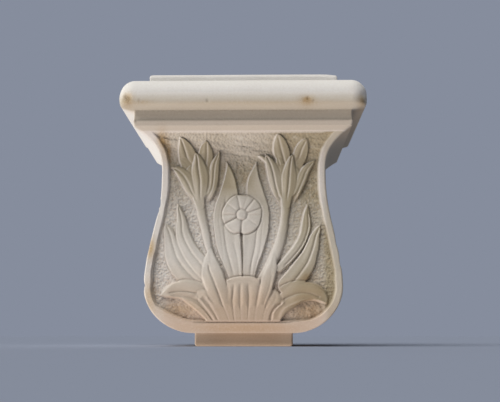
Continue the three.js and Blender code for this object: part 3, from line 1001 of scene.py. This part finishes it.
    def bare(self) -> Grid:
        """How rough the stone is left: the pecked ground, the back and the top of the bed.

        Returns:
            A grid of its roughness, 0 where it is rubbed smooth.
        """
        weather = self.weather
        ground = (1 - self.carving.cover) * self.sunk
        smoother = weather.smoother_top * above(self.z, *weather.top_span)
        smoother = smoother + weather.smoother_foot * below(self.z, *weather.foot_span)
        back = weather.back_roughness * (self.zone == Zone.BACK) * (self.z < NOSING_TOP_Z)
        return ground * (1 - smoother) + back + weather.bed_roughness * (self.z > BED_ARRIS_Z)

    def patina(self) -> Grid:
        """The olive tone: weathering on the upper carving, weathering and painted shade under the slab and on
        the foot, painted shade on the left lily, at the right and on the right flank and rim, and painted
        light where the carving rises to the right towards the lamps.

        Returns:
            A grid of its strength.
        """
        weather = self.weather
        x, z, cover = self.x, self.z, self.carving.cover
        band = weather.patina_everywhere + weather.patina_on_carving * cover
        band = band + weather.patina_on_ground * self.bare() * above(z, *weather.ground_span)
        # Painted shade on the top of the left lily, under the slab.
        lily = cover * above(z, *weather.lily_span) * below(x, *weather.left_span)
        band = (band + weather.painted_shade_on_left_lily * lily) * above(z, *weather.patina_span)
        band = band * (0.8 + 0.2 * self.hand.at(x, z, 33, 29))
        leaves = weather.patina_on_leaves + weather.patina_on_low_leaves * below(z, *weather.low_span)
        # Painted shade, darker towards the right, away from the lamps.
        panel = np.clip(band + weather.painted_shade_at_right * above(x, *weather.right_span) + leaves * cover, 0, 1)
        daisy = Daisy()
        flower = np.exp(-((np.hypot(x - daisy.x, z - daisy.z) / daisy.radius) ** 8))
        # Painted light: less olive where the carving rises to the right and so faces the lamps.
        panel = panel * (1 - weather.painted_light_on_lit_slopes * np.clip(self.slope(), 0, 1))
        panel = panel * (1 - weather.patina_off_daisy * flower) * self.sunk * smooth((self.inside + 1) / 5)
        # Olive weathering and painted shade under the slab's overhang, a little less on the fillet.
        fillet = weather.olive_and_shade_on_fillet + (1 - weather.olive_and_shade_on_fillet) * above(z, 272, 2)
        slab = weather.olive_and_shade_under_slab * fillet * below(z, *weather.slab_span)
        slab = slab * (z > PANEL_TOP) * (self.y < -90)
        # Painted shade on the right flank and on the right rim.
        shade = weather.painted_shade_on_flank * self.right_flank_shade + weather.painted_shade_on_right_rim * self.right_rim_shade
        # Stain and painted shade on the foot, under the bulge.
        return panel + weather.stain_and_shade_on_foot * (z < FOOT_HEIGHT) + slab + shade

    def warm(self) -> Grid:
        """The reddish tone that grows towards the foot: earth stain, with painted bounce light from below on
        the lower front and the fillet, and painted shade on the right flank.

        Returns:
            A grid of its strength.
        """
        weather = self.weather
        x, z = self.x, self.z
        start, length = weather.warm_foot_span
        foot = below(z, start - weather.warm_foot_drop * above(np.abs(x), 85, 20), length)
        foot = foot * (0.85 + 0.15 * self.hand.at(x + self.y, z, 21, 17))
        middle = below(np.abs(x), 60, 50) * below(z, 100, 50) * self.ahead
        front = below(z, *weather.warm_front_span) * self.ahead
        fillet = above(z, 256, 8) * (0.25 + 0.75 * below(z, 275, 3)) * below(z, 294, 8) * self.cut
        warm = weather.warm_front * front + weather.warm_foot * foot + weather.warm_middle * middle
        # On the right flank the reddish layer is painted shade.
        return warm + weather.warm_fillet * fillet + weather.reddish_shade_on_flank * self.right_flank_shade

    def tones(self, y: Grid) -> dict:
        """Grime, stain, roughness, painted shade and painted light at each point.

        Args:
            y: the worn surface, for its hollows.

        Returns:
            Grids from 0 to 1, by the name of the attribute.
        """
        grids = {
            "soil": self.soil(y),
            "ochre": sum_of(OCHRE, self.x, self.z) * self.ahead,
            "bare": self.bare(),
            "warm": self.warm(),
            "patina": self.patina(),
        }
        return {name: np.clip(grid, 0, 1) for name, grid in grids.items()}


def hollows_of(y: Grid) -> Grid:
    """Finds the hollows of the surface.

    Args:
        y: grid of the worn surface's depth, in mm.

    Returns:
        How far each point lies behind its neighbours, from 0 to 0.8.
    """
    reach = 3
    kernel = np.ones(2 * reach + 1) / (2 * reach + 1)
    mean = np.pad(y, reach, mode="edge")
    for axis in (0, 1):
        mean = np.apply_along_axis(np.convolve, axis, mean, kernel, "valid")
    return np.clip((y - mean) / 2.2, 0, 0.8)


@dataclass
class Stone:
    """The whole block as a net of rings. The sizes say how many columns each stretch of a ring has."""

    across: int = 220
    flank: int = 12
    back: int = 10
    arc: int = 8
    rim: int = 8
    slope: int = 4
    flank_crowding: float = 0.6
    crease_angle: float = 38.0

    def columns(self) -> tuple:
        """Spreads a ring's columns over its stretches.

        Returns:
            Zone of each column, and its share of the way through that zone.
        """
        counts = [self.flank, self.arc, self.rim, self.slope, self.across,
                  self.slope, self.rim, self.arc, self.flank, self.back]
        zones = []
        shares = []
        for zone, count in zip(Zone, counts):
            first = 0 if zone <= Zone.PANEL else 1
            last = count - 1 if zone < Zone.PANEL else count
            share = np.arange(first, last + 1) / count
            if zone == Zone.LEFT_FLANK:
                share = share ** self.flank_crowding
            if zone == Zone.RIGHT_FLANK:
                share = 1 - (1 - share) ** self.flank_crowding
            zones.append(np.full(len(share), zone))
            shares.append(share)
        return np.concatenate(zones)[None, :], np.concatenate(shares)[None, :]

    def surface(self) -> Surface:
        """Puts every point on its ring.

        Returns:
            The block's surface, with its carving and wear worked out.
        """
        z, half, front, rounding, panel = (np.array(v)[:, None] for v in zip(*rows_of_stone()))
        zone, share = self.columns()
        inner = np.minimum(rim_half(z), half - rounding - RIM_SLOPE - 1.0)
        ground = inner - RIM_SLOPE
        corner = half - rounding
        turn = share * math.pi / 2
        reach = front + rounding - HALF_DEPTH
        across = {
            Zone.LEFT_FLANK: -half,
            Zone.LEFT_CORNER: -corner - rounding * np.cos(turn),
            Zone.LEFT_RIM: -corner + (corner - inner) * share,
            Zone.LEFT_SLOPE: -inner + RIM_SLOPE * share,
            Zone.PANEL: ground * (2 * share - 1),
            Zone.RIGHT_SLOPE: ground + RIM_SLOPE * share,
            Zone.RIGHT_RIM: inner + (corner - inner) * share,
            Zone.RIGHT_CORNER: corner + rounding * np.sin(turn),
            Zone.RIGHT_FLANK: half,
            Zone.BACK: half * (1 - 2 * share),
        }
        deep = {
            Zone.LEFT_FLANK: HALF_DEPTH + reach * share,
            Zone.LEFT_CORNER: front + rounding - rounding * np.sin(turn),
            Zone.RIGHT_CORNER: front + rounding - rounding * np.cos(turn),
            Zone.RIGHT_FLANK: HALF_DEPTH + reach * (1 - share),
            Zone.BACK: np.full_like(front, HALF_DEPTH),
        }
        x = np.select([zone == k for k in across], list(across.values()))
        y = np.select([zone == k for k in deep], list(deep.values()), front)
        face = (zone >= Zone.LEFT_RIM) & (zone <= Zone.RIGHT_RIM) & (panel > 0)
        return Surface(x, y, np.broadcast_to(z, x.shape), zone, face)

    def build(self) -> bpy.types.Object:
        """Makes the mesh.

        Returns:
            The finished object at the origin, in metres.
        """
        surface = self.surface()
        x, y, z = surface.places()
        rows, columns = x.shape
        bpy.ops.object.select_all(action="DESELECT")
        bpy.ops.mesh.primitive_grid_add(x_subdivisions=columns, y_subdivisions=rows - 1, size=1.0)
        piece = bpy.context.active_object
        piece.name = "carved_capital"
        mesh = piece.data
        # No edit operator gives the carving, so the grid's points are set from the worked-out surface.
        # The grid's last column repeats its first and is merged with it below.
        places = np.stack([self.closed(grid) * MM for grid in (x, y, z)], axis=1)
        mesh.vertices.foreach_set("co", places.astype(np.float32).ravel())
        for name, grid in surface.tones(y).items():
            layer = mesh.attributes.new(name, "FLOAT", "POINT")
            layer.data.foreach_set("value", self.closed(grid).astype(np.float32))
        mesh.update()
        bpy.ops.object.mode_set(mode="EDIT")
        bpy.ops.mesh.select_all(action="SELECT")
        bpy.ops.mesh.remove_doubles(threshold=1e-6)
        bpy.ops.mesh.select_all(action="DESELECT")
        bpy.ops.mesh.select_non_manifold()
        bpy.ops.mesh.mark_sharp()
        bpy.ops.mesh.edge_face_add()
        bpy.ops.mesh.select_all(action="SELECT")
        bpy.ops.mesh.normals_make_consistent(inside=False)
        bpy.ops.object.mode_set(mode="OBJECT")
        bpy.ops.object.shade_smooth_by_angle(angle=math.radians(self.crease_angle))
        log.info("%s: %d faces", piece.name, len(mesh.polygons))
        return piece

    @staticmethod
    def closed(grid: Grid) -> Grid:
        """A grid's values in one row, with its first column repeated after its last."""
        return np.concatenate([grid, grid[:, :1]], axis=1).ravel()


class Colour(Enum):
    """Colours as they look, in sRGB."""

    MARBLE = "#DCDBD7"
    MARBLE_COOL = "#D4D2CE"
    # Reddish tint: earth stain and painted bounce light.
    WARM = "#E2BF9F"
    # Olive tint: weathering and painted shade; where less of it is laid, it paints light.
    PATINA = "#C4BCA4"
    GROUND = "#D0C0AA"
    # Brown tint: grime and painted shade.
    SOIL = "#6C5F47"
    OCHRE = "#DDC08C"
    FLOOR = "#808898"
    SKY = "#868D9D"
    KEY = "#FFFCF8"
    BOUNCE = "#FFECDD"
    WINDOW = "#FFFBF4"


def linear(colour: Colour) -> tuple:
    """A colour's linear red, green, blue and full alpha."""
    parts = [int(colour.value[i:i + 2], 16) / 255 for i in (1, 3, 5)]
    return tuple(c / 12.92 if c <= 0.04045 else ((c + 0.055) / 1.055) ** 2.4 for c in parts) + (1.0,)


def add_node(owner: bpy.types.ID, kind: str, inputs: dict | None = None,
             **settings: object) -> bpy.types.Node:
    """Adds a node with its settings and its links.

    Args:
        owner: the material or world that gets the node.
        kind: the node's type name.
        inputs: by name or number, the output that feeds an input or the constant it holds.
        settings: the node's own properties.

    Returns:
        The new node.
    """
    node = owner.node_tree.nodes.new(kind)
    for name, value in settings.items():
        setattr(node, name, value)
    for key, value in (inputs or {}).items():
        if isinstance(value, bpy.types.NodeSocket):
            owner.node_tree.links.new(value, node.inputs[key])
        else:
            node.inputs[key].default_value = value
    return node


@dataclass(frozen=True)
class Marble:
    """Hand-carved white marble, rubbed matt, weathered olive and brown in its hollows, with painted shade and
    light.
    """

    cloud_mm: float = 90.0
    grain_mm: float = 2.2
    roughness: float = 0.6
    ior: float = 1.5
    specular: float = 0.3
    bump_mm: float = 0.45
    pit_mm: float = 3.1
    pit_depth_mm: float = 2.0
    pit_rim: float = 0.55
    speckle: float = 0.18
    warmth: float = 0.6

    def material(self) -> bpy.types.Material:
        """Builds the material.

        Returns:
            A material on object coordinates and the piece's own attributes.
        """
        # White marble scatters light softly, so it has pale clouds, a matt sheen and no hard highlights.
        made = bpy.data.materials.new("weathered_white_marble")
        made.use_nodes = True
        made.node_tree.nodes.clear()
        place = add_node(made, "ShaderNodeTexCoord").outputs["Object"]
        clouds = {"Vector": place, "Scale": 1 / (self.cloud_mm * MM), "Detail": 5, "Roughness": 0.6,
                  "Distortion": 0.8}
        # Marble's own grain is under a millimetre, and is drawn coarser so that it shows.
        grains = {"Vector": place, "Scale": 1 / (self.grain_mm * MM), "Detail": 4, "Roughness": 0.65}
        pecks = {"Vector": place, "Scale": 1 / (self.pit_mm * MM), "Smoothness": 0.4}
        value = {
            "cloud": add_node(made, "ShaderNodeTexNoise", clouds).outputs["Fac"],
            "grain": add_node(made, "ShaderNodeTexNoise", grains).outputs["Fac"],
            "pits": add_node(made, "ShaderNodeTexVoronoi", pecks, feature="SMOOTH_F1").outputs["Distance"],
        }
        contrast = {"Value": value["grain"], "From Min": 0.3, "From Max": 0.7}
        value["uneven"] = add_node(made, "ShaderNodeMapRange", contrast).outputs["Result"]
        for name in ("bare", "warm", "patina", "ochre", "soil"):
            value[name] = add_node(made, "ShaderNodeAttribute", attribute_name=name).outputs["Fac"]
        for name, operation, first, second in (
            ("pit_floor", "SUBTRACT", self.pit_rim, "pits"),
            ("pitted", "MULTIPLY", "bare", "pit_floor"),
            ("relief", "MULTIPLY", "bare", "pits"),
            ("reddish", "MULTIPLY", "warm", self.warmth),
            ("specks", "MULTIPLY", "uneven", self.speckle),
            ("blotches", "ADD", "uneven", 0.5),
            ("stain", "MULTIPLY", "ochre", "blotches"),
            ("half", "MULTIPLY", "uneven", 0.5),
            ("patchy", "ADD", "half", 0.4),
            ("patchy_grime_and_shade", "MULTIPLY", "soil", "patchy"),
        ):
            terms = {0: value.get(first, first), 1: value.get(second, second)}
            node = add_node(made, "ShaderNodeMath", terms, operation=operation, use_clamp=True)
            value[name] = node.outputs["Value"]
        # The reddish, olive and brown layers carry painted shade and painted light as well as stains and
        # grime.
        colour = linear(Colour.MARBLE)
        for share, tint, blend in (
            ("cloud", Colour.MARBLE_COOL, "MIX"),
            ("pitted", Colour.GROUND, "MIX"),
            ("reddish", Colour.WARM, "MULTIPLY"),
            ("patina", Colour.PATINA, "MULTIPLY"),
            ("specks", Colour.GROUND, "MULTIPLY"),
            ("stain", Colour.OCHRE, "MULTIPLY"),
            ("patchy_grime_and_shade", Colour.SOIL, "MULTIPLY"),
        ):
            layer = {0: value[share], 6: colour, 7: linear(tint)}
            colour = add_node(made, "ShaderNodeMix", layer, data_type="RGBA", blend_type=blend).outputs[2]
        pecking = {"Strength": 0.8, "Distance": self.pit_depth_mm * MM, "Height": value["relief"]}
        pecked = add_node(made, "ShaderNodeBump", pecking).outputs["Normal"]
        graining = {"Strength": 0.5, "Distance": self.bump_mm * MM, "Height": value["grain"],
                    "Normal": pecked}
        surface = {
            "Base Color": colour,
            "Roughness": self.roughness,
            "IOR": self.ior,
            "Specular IOR Level": self.specular,
            "Normal": add_node(made, "ShaderNodeBump", graining).outputs["Normal"],
        }
        shader = add_node(made, "ShaderNodeBsdfPrincipled", surface).outputs["BSDF"]
        add_node(made, "ShaderNodeOutputMaterial", {"Surface": shader})
        return made


def plain_material(name: str, colour: Colour, roughness: float) -> bpy.types.Material:
    """A one-colour matt paint, as on a studio floor, with no sheen.

    Args:
        name: the material's name.
        colour: its colour as it looks.
        roughness: how matt it is, from 0 to 1.

    Returns:
        The new material.
    """
    made = bpy.data.materials.new(name)
    made.use_nodes = True
    shader = made.node_tree.nodes["Principled BSDF"]
    shader.inputs["Base Color"].default_value = linear(colour)
    shader.inputs["Roughness"].default_value = roughness
    shader.inputs["Specular IOR Level"].default_value = 0.0
    return made


@dataclass(frozen=True)
class Lamp:
    """A broad, far-away studio light that faces the capital."""

    name: str
    place: tuple
    power: float
    colour: Colour
    spread: float
    aim: tuple = (0.0, -0.05, 0.17)

    def add(self) -> None:
        """Adds the lamp to the scene."""
        bpy.ops.object.light_add(type="SUN", location=self.place)
        lamp = bpy.context.active_object
        lamp.name = self.name
        lamp.data.energy = self.power
        lamp.data.color = linear(self.colour)[:3]
        lamp.data.angle = math.radians(self.spread)
        way = Vector(self.aim) - Vector(self.place)
        lamp.rotation_euler = way.to_track_quat("-Z", "Y").to_euler()


@dataclass(frozen=True)
class Studio:
    """Floor, lights, sky and camera."""

    pitch: float = math.atan(135 / 800)
    yaw: float = 0.01726
    camera_place: tuple = (0.025, -1.048, 0.0125)
    lens_mm: float = 57.6
    sensor_mm: float = 36.0
    floor_width: float = 40.0
    ambient: float = 0.2
    lamps: tuple = (
        Lamp("key", (-0.65, -0.85, 1.8), 3.55, Colour.KEY, 60.0),
        Lamp("bounce", (-0.5, -0.6, -0.75), 1.9, Colour.BOUNCE, 60.0),
        Lamp("window", (-1.2, -0.15, -0.4), 2.5, Colour.WINDOW, 45.0),
        Lamp("wall", (-0.1, 1.2, 0.5), 0.8, Colour.KEY, 90.0),
    )

    def build(self) -> None:
        """Sets up everything round the capital."""
        bpy.ops.mesh.primitive_plane_add(size=self.floor_width, location=(0, 0, 0))
        floor = bpy.context.active_object
        floor.name = "floor"
        floor.data.materials.append(plain_material("pale_floor", Colour.FLOOR, 0.9))
        floor.visible_shadow = False
        for lamp in self.lamps:
            lamp.add()
        self.sky()
        self.camera()
        log.info("studio: floor and %d lamps", len(self.lamps))

    def sky(self) -> None:
        """A plain grey-blue surround, dimmer as a light than it looks."""
        world = bpy.data.worlds.new("plain_surround")
        bpy.context.scene.world = world
        world.use_nodes = True
        seen = add_node(world, "ShaderNodeLightPath").outputs["Is Camera Ray"]
        strength = add_node(world, "ShaderNodeMapRange", {"Value": seen, "To Min": self.ambient})
        background = world.node_tree.nodes["Background"]
        background.inputs["Color"].default_value = linear(Colour.SKY)
        world.node_tree.links.new(strength.outputs["Result"], background.inputs["Strength"])

    def camera(self) -> None:
        """Places the camera in front, a little under the middle, looking slightly up."""
        turn = (math.pi / 2 + self.pitch, 0.0, self.yaw)
        bpy.ops.object.camera_add(location=self.camera_place, rotation=turn)
        camera = bpy.context.active_object
        camera.data.lens = self.lens_mm
        camera.data.sensor_width = self.sensor_mm
        bpy.context.scene.camera = camera


def main() -> None:
    """Builds the capital's looks and the studio."""
    logging.basicConfig(level=logging.INFO)
    capital = Stone().build()
    capital.data.materials.clear()
    capital.data.materials.append(Marble().material())
    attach(capital, "root")
    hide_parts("capital")
    Studio().build()
    bpy.context.scene.view_settings.view_transform = "Standard"


if __name__ == "__main__":
    main()
